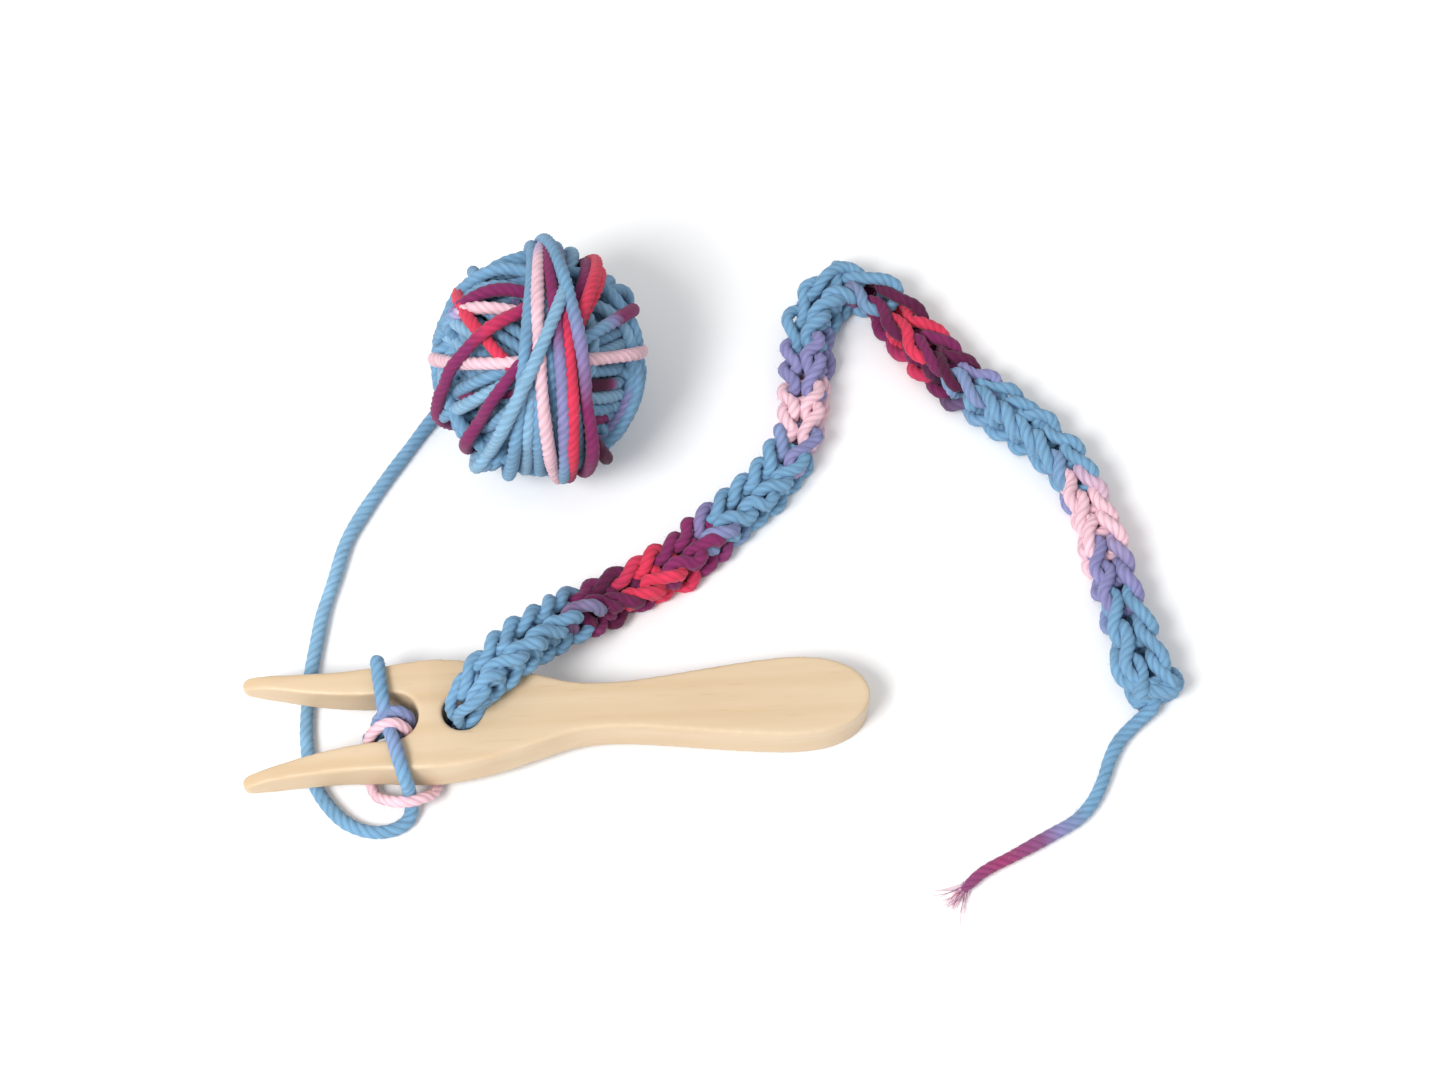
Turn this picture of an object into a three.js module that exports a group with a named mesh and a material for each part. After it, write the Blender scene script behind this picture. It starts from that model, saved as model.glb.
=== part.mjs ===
// A knitting fork (lucet) lying on a table with its yarn: a ball, the working strand, the loops on
// the prongs, the knitted cord and its tail. Millimetres, +Z up, +X from the prongs to the handle.
// The origin is under the middle of the fork, on the table.
import * as THREE from 'three';

// The fork, in its own frame: flat back on w = 0, prong tips at -FORK_LENGTH / 2.
const FORK_LENGTH = 170;
const FORK_THICKNESS = 12.6;
const TIP_THICKNESS = 7;
const EDGE_ROUND = 1.4;
const TIP_ROUND = 1.8;
const SLOT_HALF_WIDTH = 6.9;
const SLOT_END = -37.4;
const HOLE_AT = -25.7;
const HOLE_RADIUS = 5.4;
const TAPER_FROM = -34;
const TILT = THREE.MathUtils.degToRad(2.6);

// Half of the outer edge, from the handle's end to a prong's tip, and a prong's inner edge.
const OUTER_EDGE = [
  [85, 0], [83.6, 4.3], [79.6, 8.2], [73, 10.9], [64, 11.7], [54, 11.1], [42, 9.7], [30, 8.1],
  [20, 7], [12, 6.7], [4, 7.5], [-5, 10.1], [-14, 12.9], [-23, 15], [-31, 16], [-39, 15.9],
  [-50, 15], [-62, 14.8], [-74, 15.4], [-83.2, 16.2],
];
const INNER_EDGE = [[-83.2, 12.6], [-75, 10.9], [-65, 8.7], [-54, 7.2]];

// The yarn and what is knitted from it.
const YARN = 4;
const TUBE_SIDES = 8;
const BALL = { x: 0.4, y: 99.2, z: 31.4, across: 31.2, along: 35.6 };
const KNOT = { x: -44.8, y: -0.4, z: 12, rx: 5.6, ry: 4.2, rz: 5.6 };
const BRIDGE_CORD = 4.6;
const HOLE_CORD = 9.4;
const CORD_HALF_WIDTH = 7.2;
const CORD_HALF_HEIGHT = 5;
const END_KNOT = { x: 163.4, y: -2.6, z: 4.8, rx: 7.4, ry: 5, rz: 4.6 };

// Routes of the strands, as points on their middle lines.
const WORKING_RUN = [
  [-17.6, 113.6, 5.4], [-22, 110, 3.6], [-27, 105.6, 2.6], [-32.4, 99.6, 2.2], [-39.3, 90.1, 2.2],
  [-46.2, 80.4, 2.2], [-52.6, 70.5, 2.2], [-57.2, 62, 2.2], [-60.9, 50, 2.2], [-64.1, 39.8, 2.2],
  [-65.8, 31.5, 2.2], [-67.3, 23.3, 2.2], [-68.4, 13.6, 2.2], [-69, 4.6, 2.2], [-68.6, -4.2, 2.2],
];
const WORKING_TURN = [
  [-68.5, -4.8, 2.2], [-66.4, -13, 2.2], [-62.9, -19, 2.2], [-58.2, -24, 2.2], [-51.8, -26.9, 2.2],
  [-45.8, -26.6, 2.2], [-42, -24.2, 2.3], [-40.9, -21.6, 3],
];
const WORKING_WRAP = [
  [-40.9, -20, 4.4], [-41.6, -19, 8], [-42.2, -18.5, 13], [-42.7, -17.2, 18], [-43.2, -13.9, 20],
  [-43.6, -9.5, 20], [-43.8, -7.8, 19.6],
];
const NEAR_LOOP = [
  [-40, -4.6, 17.8], [-41.2, -4, 20.2], [-45.2, -3.3, 21], [-49.4, -3.7, 19.6], [-52.2, -4.4, 16],
  [-53.2, -4.6, 11], [-53.2, -4.9, 7], [-52.9, -7, 4], [-51.9, -12, 3.4], [-50.3, -17, 4],
  [-47.2, -20.6, 7], [-43.8, -22.9, 9.4], [-40.6, -23.1, 9.7], [-37.2, -21.3, 7.8],
  [-35, -18.8, 4.8], [-33.8, -14.6, 2.7], [-34.8, -9.6, 2.6], [-38.4, -7, 2.6], [-43, -6, 2.8],
];
const FAR_LOOP = [
  [-46.2, 4, 18.4], [-46.5, 7.2, 19.7], [-47, 11.2, 20], [-47.5, 15.6, 19.1], [-47.8, 18.2, 15.4],
  [-47.8, 18.3, 10], [-47.4, 16.8, 4.6], [-46.8, 12.6, 3.4], [-46.1, 8, 3.2], [-45.4, 4.6, 3.4],
];
const BRIDGE_ROUTE = [
  [-44.4, -0.6, 2.9], [-40.6, -0.4, 2.4], [-36, -0.1, 2.35], [-30.6, 0, 2.35], [-27.4, 0, 3.4],
  [-25.9, 0, 6], [-25.7, 0, 8.8],
];
const HOLE_ROUTE = [
  [-25.7, 0, 9.2], [-25.7, 0, 14], [-25.2, 0.4, 18.4], [-23.8, 1.8, 21.2], [-21.8, 3.8, 22.9],
];
const CORD_ROUTE = [
  [-19.2, 5.8, 23.6], [-13.2, 11.4, 23.7], [-6.6, 18.4, 20.4], [1.8, 26.2, 14.6], [11, 32.6, 8.8],
  [22.5, 39.4, 5.4], [34.8, 45.6, 5.3], [45, 54, 5.3], [56, 63.4, 5.3], [66, 73, 5.3],
  [72.8, 84, 5.3], [75.6, 97, 5.3], [77.6, 109, 5.3], [80, 121.6, 5.3], [85.6, 131, 5.3],
  [93.6, 133.6, 5.3], [101.6, 127.6, 5.3], [108.6, 116, 5.3], [116, 105.2, 5.3], [124, 96, 5.3],
  [132.6, 87.8, 5.3], [141.3, 79.4, 5.3], [148, 70, 5.3], [152, 59.4, 5.3], [154.4, 48, 5.3],
  [156, 37, 5.3], [157.6, 26, 5.3], [159.2, 14.6, 5.3], [161.2, 4.6, 5.3],
];
const TAIL_ROUTE = [
  [160.2, -8.4, 2.9], [156.6, -11.2, 2.4], [152, -15.6, 2.2], [148.8, -20.8, 2.2], [146.2, -26.6, 2.2],
  [142.6, -32.6, 2.2], [137.8, -37.4, 2.2], [130.6, -41.2, 2.2], [119.8, -46.4, 2.2],
  [110.4, -50.8, 2.2], [104.8, -55.3, 2.2],
];

function finish(color, roughness) {
  return new THREE.MeshStandardMaterial({ color, roughness, metalness: 0 });
}

function named(name, geometry, material) {
  const mesh = new THREE.Mesh(geometry, material);
  mesh.name = name;
  return mesh;
}

// A closed tube of an oval section along a smooth line through the given points.
function tube(route, steps, halfHeight = YARN / 2, halfWidth = YARN / 2, sides = TUBE_SIDES) {
  const line = new THREE.CatmullRomCurve3(route.map((p) => new THREE.Vector3(...p)));
  const section = new THREE.Shape();
  for (let i = 0; i < sides; i += 1) {
    const turn = (2 * Math.PI * i) / sides;
    const [x, y] = [halfHeight * Math.cos(turn), halfWidth * Math.sin(turn)];
    if (i === 0) section.moveTo(x, y);
    else section.lineTo(x, y);
  }
  return new THREE.ExtrudeGeometry(section, { extrudePath: line, steps, curveSegments: 1 });
}

// A closed oval body of revolution about its own Y axis.
function spheroid(radius, halfLength, around, rows) {
  const profile = [];
  for (let i = 0; i <= rows; i += 1) {
    const angle = Math.PI * (i / rows - 0.5);
    const out = i === 0 || i === rows ? 0 : radius * Math.cos(angle);
    profile.push(new THREE.Vector2(out, halfLength * Math.sin(angle)));
  }
  return new THREE.LatheGeometry(profile, around);
}

function lump({ x, y, z, rx, ry, rz }) {
  const geometry = spheroid(1, 1, 16, 10);
  geometry.scale(rx, ry, rz);
  geometry.translate(x, y, z);
  return geometry;
}

// The plan of the fork: handle, waist, shoulders and two prongs with a round-ended slot.
function forkPlan() {
  const half = new THREE.SplineCurve(OUTER_EDGE.map((p) => new THREE.Vector2(...p)));
  const inner = new THREE.SplineCurve([
    ...INNER_EDGE.map((p) => new THREE.Vector2(...p)),
    new THREE.Vector2(SLOT_END - SLOT_HALF_WIDTH, SLOT_HALF_WIDTH),
  ]);
  const side = half.getPoints(52);
  const tip = [];
  const tipMiddle = (OUTER_EDGE.at(-1)[1] + INNER_EDGE[0][1]) / 2;
  for (let i = 1; i < 8; i += 1) {
    const turn = Math.PI * (0.5 + i / 8);
    tip.push(new THREE.Vector2(
      TIP_ROUND - FORK_LENGTH / 2 + TIP_ROUND * Math.cos(turn),
      tipMiddle + TIP_ROUND * Math.sin(turn),
    ));
  }
  const slotEnd = [];
  for (let i = 1; i < 8; i += 1) {
    const turn = (Math.PI / 2) * (1 - i / 8);
    slotEnd.push(new THREE.Vector2(
      SLOT_END + SLOT_HALF_WIDTH * (Math.cos(turn) - 1),
      SLOT_HALF_WIDTH * Math.sin(turn),
    ));
  }
  const upper = [...side, ...tip, ...inner.getPoints(20), ...slotEnd];
  const lower = upper.slice(1).reverse().map((p) => new THREE.Vector2(p.x, -p.y));
  const plan = new THREE.Shape([...upper, new THREE.Vector2(SLOT_END, 0), ...lower]);
  plan.holes.push(new THREE.Path().absarc(HOLE_AT, 0, HOLE_RADIUS, 0, 2 * Math.PI, true));
  return plan;
}

// One board, cut to the plan with rounded edges, its prongs planed thinner towards their tips.
function forkBody() {
  const geometry = new THREE.ExtrudeGeometry(forkPlan(), {
    depth: FORK_THICKNESS - 2 * EDGE_ROUND,
    bevelThickness: EDGE_ROUND,
    bevelSize: EDGE_ROUND,
    bevelOffset: -EDGE_ROUND,
    bevelSegments: 3,
    curveSegments: 20,
  });
  geometry.translate(0, 0, EDGE_ROUND);
  const at = geometry.attributes.position;
  for (let i = 0; i < at.count; i += 1) {
    const along = (TAPER_FROM - at.getX(i)) / (TAPER_FROM + FORK_LENGTH / 2);
    const thinner = Math.max(0, along) * (1 - TIP_THICKNESS / FORK_THICKNESS);
    at.setZ(i, at.getZ(i) * (1 - thinner));
  }
  return named('fork_body', geometry, finish(0xe3c493, 0.5));
}

// The fork lies tilted: the end of its handle is on the table and its bridge on the knitted cord.
function lyingFork() {
  const fork = new THREE.Group();
  fork.add(forkBody());
  fork.rotation.y = TILT;
  const box = new THREE.Box3().setFromObject(fork, true);
  fork.position.x = -(box.min.x + box.max.x) / 2;
  fork.position.z = -box.min.z;
  return fork;
}

function yarnBall() {
  const ball = named('yarn_ball', spheroid(BALL.across, BALL.along, 36, 22), finish(0x6f9fc4, 0.95));
  ball.position.set(BALL.x, BALL.y, BALL.z);
  return ball;
}

const blue = finish(0x6f9fc4, 0.95);
const pink = finish(0xe9c3d3, 0.95);
const lilac = finish(0x8f8fbd, 0.95);

const part = new THREE.Group();
part.add(
  lyingFork(),
  yarnBall(),
  named('working_yarn', tube(WORKING_RUN, 34), blue),
  named('working_turn', tube(WORKING_TURN, 18), blue),
  named('working_wrap', tube(WORKING_WRAP, 12), blue),
  named('near_loop', tube(NEAR_LOOP, 40), pink),
  named('far_loop', tube(FAR_LOOP, 24), blue),
  named('crotch_knot', lump(KNOT), lilac),
  named('bridge_cord', tube(BRIDGE_ROUTE, 12, BRIDGE_CORD / 2, BRIDGE_CORD / 2, 10), blue),
  named('hole_cord', tube(HOLE_ROUTE, 8, HOLE_CORD / 2, HOLE_CORD / 2, 12), blue),
  named('knitted_cord', tube(CORD_ROUTE, 56, CORD_HALF_HEIGHT, CORD_HALF_WIDTH, 12), lilac),
  named('cast_on_knot', lump(END_KNOT), blue),
  named('tail_yarn', tube(TAIL_ROUTE, 22), lilac),
);

export default part;
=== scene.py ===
import math

import bpy
import numpy as np
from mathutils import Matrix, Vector


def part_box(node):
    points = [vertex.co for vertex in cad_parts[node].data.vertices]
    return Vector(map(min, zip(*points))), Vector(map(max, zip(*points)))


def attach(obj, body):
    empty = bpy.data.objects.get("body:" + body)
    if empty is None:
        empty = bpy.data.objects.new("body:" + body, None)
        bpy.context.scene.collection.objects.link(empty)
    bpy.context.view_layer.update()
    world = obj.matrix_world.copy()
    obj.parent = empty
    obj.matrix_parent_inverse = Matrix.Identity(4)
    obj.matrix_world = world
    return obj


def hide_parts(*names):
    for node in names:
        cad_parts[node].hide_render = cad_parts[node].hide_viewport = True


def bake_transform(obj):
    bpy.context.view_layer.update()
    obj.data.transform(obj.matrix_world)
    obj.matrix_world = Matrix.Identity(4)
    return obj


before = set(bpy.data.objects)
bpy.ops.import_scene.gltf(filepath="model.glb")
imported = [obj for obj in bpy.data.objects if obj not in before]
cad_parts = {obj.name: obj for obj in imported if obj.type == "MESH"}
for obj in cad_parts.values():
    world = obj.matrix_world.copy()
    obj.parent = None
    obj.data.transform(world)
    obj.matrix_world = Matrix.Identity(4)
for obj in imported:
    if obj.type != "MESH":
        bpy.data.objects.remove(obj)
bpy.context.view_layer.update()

MM = 0.001
rng = np.random.default_rng(41)

# ---------------------------------------------------------------- colours


def srgb(red, green, blue):
    """A display colour, 0 to 255, as the linear colour that shaders work in."""
    c = np.array([red, green, blue]) / 255
    return np.where(c <= 0.04045, c / 12.92, ((c + 0.055) / 1.055) ** 2.4)


BLUE = srgb(116, 160, 194)
SKY = srgb(136, 178, 208)
DEEP_BLUE = srgb(88, 132, 170)
LAVENDER = srgb(138, 136, 184)
LILAC = srgb(176, 160, 206)
PINK = srgb(238, 196, 208)
CORAL = srgb(220, 56, 88)
MAGENTA = srgb(172, 44, 98)
PLUM = srgb(132, 40, 96)
DARK_PLUM = srgb(78, 18, 54)


def dyed(stops, at):
    """The yarn's colour at each place in at: stops are (place, colour), and the dye runs smoothly between."""
    places = [place for place, _ in stops]
    shades = np.array([shade for _, shade in stops])
    return np.stack([np.interp(at, places, shades[:, i]) for i in range(3)], 1)


# ---------------------------------------------------------------- camera

AZIMUTH = math.radians(-4.3)
ELEVATION = math.radians(62)
TOWARDS_CAMERA = np.array([
    math.sin(AZIMUTH) * math.cos(ELEVATION),
    -math.cos(AZIMUTH) * math.cos(ELEVATION),
    math.sin(ELEVATION),
])
VIEW_RIGHT = np.array([math.cos(AZIMUTH), math.sin(AZIMUTH), 0.0])
VIEW_UP = np.cross(TOWARDS_CAMERA, VIEW_RIGHT)
CAMERA_AIM = np.array([0.0489, 0.0553, 0.0])
CAMERA_DISTANCE = 0.853
LENS_MM = 75
SENSOR_MM = 36


def add_camera():
    data = bpy.data.cameras.new("camera")
    data.lens = LENS_MM
    data.sensor_width = SENSOR_MM
    camera = bpy.data.objects.new("camera", data)
    bpy.context.collection.objects.link(camera)
    camera.location = CAMERA_AIM + CAMERA_DISTANCE * TOWARDS_CAMERA
    camera.rotation_euler = Vector(-TOWARDS_CAMERA).to_track_quat("-Z", "Y").to_euler()
    bpy.context.scene.camera = camera


# ---------------------------------------------------------------- lines


def smooth_line(points, step):
    """A smooth curve through the points, cut into even steps."""
    p = np.array(points, float)
    p = np.vstack([2 * p[0] - p[1], p, 2 * p[-1] - p[-2]])
    pieces = []
    for a, b, c, d in zip(p, p[1:], p[2:], p[3:]):
        knots = [0.0]
        for start, end in ((a, b), (b, c), (c, d)):
            knots.append(knots[-1] + max(np.linalg.norm(end - start), 1e-9) ** 0.5)
        t0, t1, t2, t3 = knots
        t = np.linspace(t1, t2, 10, endpoint=False)[:, None]
        ab = (t1 - t) / (t1 - t0) * a + (t - t0) / (t1 - t0) * b
        bc = (t2 - t) / (t2 - t1) * b + (t - t1) / (t2 - t1) * c
        cd = (t3 - t) / (t3 - t2) * c + (t - t2) / (t3 - t2) * d
        abc = (t2 - t) / (t2 - t0) * ab + (t - t0) / (t2 - t0) * bc
        bcd = (t3 - t) / (t3 - t1) * bc + (t - t1) / (t3 - t1) * cd
        pieces.append((t2 - t) / (t2 - t1) * abc + (t - t1) / (t2 - t1) * bcd)
    dense = np.vstack(pieces + [p[-2][None]])
    along = lengths(dense)
    count = max(int(round(along[-1] / step)), 2)
    even = np.linspace(0, along[-1], count + 1)
    return np.stack([np.interp(even, along, dense[:, i]) for i in range(3)], 1)


def lengths(line):
    """How far along the line each of its points is."""
    steps = np.linalg.norm(np.diff(line, axis=0), axis=1)
    return np.concatenate([[0.0], np.cumsum(steps)])


def frames(line):
    """Directions along, up from and across the line at each point, turning as little as they can."""
    along = np.gradient(line, axis=0)
    along /= np.linalg.norm(along, axis=1)[:, None]
    up = np.empty_like(along)
    last = np.array([0.0, 0.0, 1.0])
    for i, t in enumerate(along):
        last = last - t * (last @ t)
        size = math.sqrt(last @ last)
        if size < 1e-6:
            last = np.cross(t, [1.0, 0.0, 0.0]) + np.cross(t, [0.0, 1.0, 0.0])
            size = math.sqrt(last @ last)
        last = last / size
        up[i] = last
    return along, up, np.cross(up, along)


# ---------------------------------------------------------------- spun yarn

YARN_RADIUS = 1.9 * MM
TWIST = 10.4 * MM
LINE_STEP = 0.6 * MM
# Thick and thin places: how much, over what length and from what phase.
UNEVEN = ((0.035, 7.3 * MM, 0), (0.025, 2.9 * MM, 1))
# Round one ply: how far out each point lies, in shares of the radius, and how deep in a groove it is, which
# the material darkens as painted shade.
PLY_PROFILE = ((0.89, 1.0), (0.985, 0.25), (1.02, 0.0), (0.985, 0.25))
COARSE_PROFILE = ((0.88, 1.0), (1.0, 0.12), (1.0, 0.12))
BALL_PROFILE = ((0.87, 1.0), (1.04, 0.06))
PLIES = 4
HAIR_RADIUS = 0.055 * MM
HAIR_REACH = 3.4 * MM
HAIR_ROOT = 0.93 * YARN_RADIUS
HAIR_SPACING = 0.9 * MM
HAIR_SIZES = (0.9, 2.4)
HAIR_STEPS = np.array([0.0, 0.35, 0.7, 1.0])
HAIR_SIDES = 3
# Hairs keep this many rings away from a strand's ends, and this far off the table.
HAIR_MARGIN = 5
HAIR_LOWEST = 0.2 * MM
ATTRIBUTE_FIELD = {"FLOAT_COLOR": "color", "FLOAT_VECTOR": "vector", "FLOAT": "value"}


def mesh_object(name, vertices, faces, attributes=()):
    mesh = bpy.data.meshes.new(name)
    mesh.from_pydata(vertices, [], faces)
    for label, kind, values in attributes:
        layer = mesh.attributes.new(label, kind, "POINT")
        layer.data.foreach_set(ATTRIBUTE_FIELD[kind], np.asarray(values, np.float32).ravel())
    mesh.shade_smooth()
    made = bpy.data.objects.new(name, mesh)
    bpy.context.collection.objects.link(made)
    return made


def yarn_object(name, points, faces, shades, fibre, groove_shade):
    """A piece of yarn, with what its material reads: dye, place along the fibres and depth in a groove, which
    darkens the dye as painted shade.
    """
    dye = np.hstack([shades, np.ones((len(points), 1))])
    layers = (("Dye", "FLOAT_COLOR", dye), ("Fibre", "FLOAT_VECTOR", fibre), ("GrooveShade", "FLOAT", groove_shade))
    made = mesh_object(name, points, faces, layers)
    made.data.materials.append(YARN)
    return made


def tube_faces(rings, sides, first=0):
    """The faces of a closed tube whose points run ring by ring from the one numbered first."""
    faces = []
    for ring in range(rings - 1):
        a = first + ring * sides
        b = a + sides
        faces += [(a + i, a + (i + 1) % sides, b + (i + 1) % sides, b + i) for i in range(sides)]
    last = first + (rings - 1) * sides
    return faces + [tuple(range(first, first + sides))[::-1], tuple(range(last, last + sides))]


def fibre_points(middle, thick, sides, right, up):
    """Points round a fibre's middle line, ring by ring."""
    corners = 2 * math.pi * np.arange(sides) / sides
    ring = np.cos(corners)[None, :, None] * right + np.sin(corners)[None, :, None] * up
    return (middle[:, None] + thick[:, None, None] * ring).reshape(-1, 3)


def hairs(line, shades, up, across, count, start):
    """Stray fibres that stand out of a strand from its ring start on: their points, faces and colours."""
    thick = HAIR_RADIUS * (1 - 0.65 * HAIR_STEPS)
    along = np.gradient(line, axis=0)
    along /= np.linalg.norm(along, axis=1)[:, None]
    each = len(HAIR_STEPS) * HAIR_SIDES
    points, faces, colours = [], [], []
    for number in range(count):
        ring = rng.integers(start + HAIR_MARGIN, len(line) - HAIR_MARGIN)
        angle, size = rng.uniform(0, 2 * math.pi), rng.uniform(*HAIR_SIZES) * MM
        lean, curl = np.clip(rng.normal(0, 0.8, 2), -0.9, 0.9)
        out = math.cos(angle) * up[ring] + math.sin(angle) * across[ring]
        side = -math.sin(angle) * up[ring] + math.cos(angle) * across[ring]
        rise = np.minimum(HAIR_ROOT + size * 0.5 * HAIR_STEPS, HAIR_REACH)
        middle = line[ring] + rise[:, None] * out
        drift = lean * HAIR_STEPS[:, None] * along[ring] + 0.5 * curl * (HAIR_STEPS**2)[:, None] * side
        middle = middle + size * drift
        middle[:, 2] = np.maximum(middle[:, 2], HAIR_LOWEST)
        points.append(fibre_points(middle, thick, HAIR_SIDES, side, along[ring]))
        faces += tube_faces(len(HAIR_STEPS), HAIR_SIDES, number * each)
        colours.append(np.tile(shades[ring] * 0.8 + 0.16, (each, 1)))
    return np.concatenate(points), faces, np.concatenate(colours)


def spin(name, line, shades, radius=YARN_RADIUS, profile=PLY_PROFILE, fuzz=0, fuzz_from=0):
    """A strand of plied yarn along the line, as one twisted tube whose grooves run between its plies."""
    rings = len(line)
    at = lengths(line)
    _, up, across = frames(line)
    thick = np.broadcast_to(np.asarray(radius, float), rings).copy()
    thick *= 1 + sum(much * np.sin(at / length + phase) for much, length, phase in UNEVEN)
    shape = np.array(profile * PLIES)
    sides = len(shape)
    angle = 2 * math.pi * np.arange(sides) / sides
    turn = angle[None] - (2 * math.pi * at / TWIST)[:, None]
    out = np.cos(turn)[..., None] * up[:, None] + np.sin(turn)[..., None] * across[:, None]
    reach = thick[:, None] * shape[None, :, 0]
    points = (line[:, None] + reach[..., None] * out).reshape(-1, 3)
    faces = tube_faces(rings, sides)
    fibre = np.empty((rings, sides, 3))
    fibre[..., 0] = np.cos(angle) * YARN_RADIUS
    fibre[..., 1] = np.sin(angle) * YARN_RADIUS
    fibre[..., 2] = at[:, None]
    fibre = fibre.reshape(-1, 3)
    # How deep in a groove each point lies: the material darkens the dye there as painted shade.
    groove_shade = np.tile(shape[:, 1], rings)
    dye = np.repeat(shades, sides, 0)
    if fuzz:
        tufts, tuft_faces, tuft_dye = hairs(line, shades, up, across, fuzz, fuzz_from)
        faces += [tuple(i + len(points) for i in face) for face in tuft_faces]
        points, dye, fibre = np.vstack([points, tufts]), np.vstack([dye, tuft_dye]), np.vstack([fibre, tufts])
        groove_shade = np.concatenate([groove_shade, np.zeros(len(tufts))])
    return yarn_object(name, points, faces, dye, fibre, groove_shade)


# ---------------------------------------------------------------- node helpers


def new_material(name):
    material = bpy.data.materials.new(name)
    material.use_nodes = True
    tree = material.node_tree
    tree.nodes.clear()
    shader = tree.nodes.new("ShaderNodeBsdfPrincipled")
    output = tree.nodes.new("ShaderNodeOutputMaterial")
    tree.links.new(shader.outputs[0], output.inputs[0])
    return material, tree, shader


def node(tree, kind, settings=None, **inputs):
    """A node with its settings and inputs given; an input that is a socket is linked."""
    made = tree.nodes.new("ShaderNode" + kind)
    for key, value in (settings or {}).items():
        setattr(made, key, value)
    for key, value in inputs.items():
        socket = made.inputs[int(key[1:])] if key[0] == "_" else made.inputs[key]
        if isinstance(value, bpy.types.NodeSocket):
            tree.links.new(value, socket)
        else:
            socket.default_value = value
    return made


def arithmetic(tree, operation, first, second, third=None):
    inputs = {"_0": first, "_1": second}
    if third is not None:
        inputs["_2"] = third
    return node(tree, "Math", {"operation": operation}, **inputs).outputs[0]


def blend_colours(tree, share, first, second, mode="MIX"):
    made = node(tree, "Mix", {"data_type": "RGBA", "blend_type": mode}, _0=share)
    for socket, value in ((made.inputs[6], first), (made.inputs[7], second)):
        if isinstance(value, bpy.types.NodeSocket):
            tree.links.new(value, socket)
        else:
            socket.default_value = value
    return made.outputs[2]


def new_group(name, wanted, given):
    """A shader node group whose sockets are given as (name, kind, default)."""
    group = bpy.data.node_groups.new(name, "ShaderNodeTree")
    for label, kind, default in wanted:
        socket = group.interface.new_socket(label, in_out="INPUT", socket_type=kind)
        socket.default_value = default
    for label, kind in given:
        group.interface.new_socket(label, in_out="OUTPUT", socket_type=kind)
    return group, group.nodes.new("NodeGroupInput"), group.nodes.new("NodeGroupOutput")


def spun_fibres():
    """Fine hairs that follow the twist, as a height and a mask of light and dark."""
    group, inside, outside = new_group(
        "spun fibres",
        (("Fineness", "NodeSocketFloat", 2600.0), ("Length", "NodeSocketFloat", 260.0)),
        (("Height", "NodeSocketFloat"), ("Streak", "NodeSocketFloat")),
    )
    place = node(group, "Attribute", {"attribute_name": "Fibre"}).outputs["Vector"]
    parts = node(group, "SeparateXYZ", _0=place).outputs
    fine = inside.outputs["Fineness"]
    scaled = node(
        group, "CombineXYZ",
        _0=arithmetic(group, "MULTIPLY", parts[0], fine),
        _1=arithmetic(group, "MULTIPLY", parts[1], fine),
        _2=arithmetic(group, "MULTIPLY", parts[2], inside.outputs["Length"]),
    ).outputs[0]
    threads = node(group, "TexNoise", Vector=scaled, Scale=1.0, Detail=4.0, Roughness=0.65).outputs[0]
    clumps = node(group, "TexNoise", Vector=scaled, Scale=0.32, Detail=2.0).outputs[0]
    height = arithmetic(group, "MULTIPLY_ADD", clumps, 0.6, threads)
    group.links.new(height, outside.inputs["Height"])
    group.links.new(threads, outside.inputs["Streak"])
    return group


def yarn_material(name, fibres):
    material, tree, shader = new_material(name)
    dye = node(tree, "Attribute", {"attribute_name": "Dye"}).outputs["Color"]
    groove_shade = node(tree, "Attribute", {"attribute_name": "GrooveShade"}).outputs["Fac"]
    spun = node(tree, "Group", {"node_tree": fibres}, Fineness=2600.0, Length=260.0)
    where = node(tree, "TexCoord").outputs["Object"]
    patches = node(tree, "TexNoise", Vector=where, Scale=140.0, Detail=2.0).outputs[0]
    streak = node(tree, "MapRange", _0=spun.outputs["Streak"], _1=0.3, _2=0.7, _3=0.80, _4=1.16)
    uneven = node(tree, "MapRange", _0=patches, _1=0.3, _2=0.7, _3=0.9, _4=1.08)
    # Painted shade: the colour darkens to 0.74 of itself deep in the grooves between the plies.
    painted_groove_shade = node(tree, "MapRange", _0=groove_shade, _1=0.0, _2=1.0, _3=1.0, _4=0.74)
    light = arithmetic(tree, "MULTIPLY", streak.outputs[0], uneven.outputs[0])
    light = arithmetic(tree, "MULTIPLY", light, painted_groove_shade.outputs[0])
    grey = node(tree, "CombineXYZ", _0=light, _1=light, _2=light).outputs[0]
    colour = blend_colours(tree, 1.0, dye, grey, "MULTIPLY")
    tree.links.new(colour, shader.inputs["Base Color"])
    bump = node(tree, "Bump", Height=spun.outputs["Height"], Strength=0.55, Distance=0.00035)
    tree.links.new(bump.outputs[0], shader.inputs["Normal"])
    shader.inputs["Roughness"].default_value = 0.86
    shader.inputs["Specular IOR Level"].default_value = 0.25
    shader.inputs["Sheen Weight"].default_value = 0.12
    shader.inputs["Sheen Roughness"].default_value = 0.5
    return material


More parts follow.
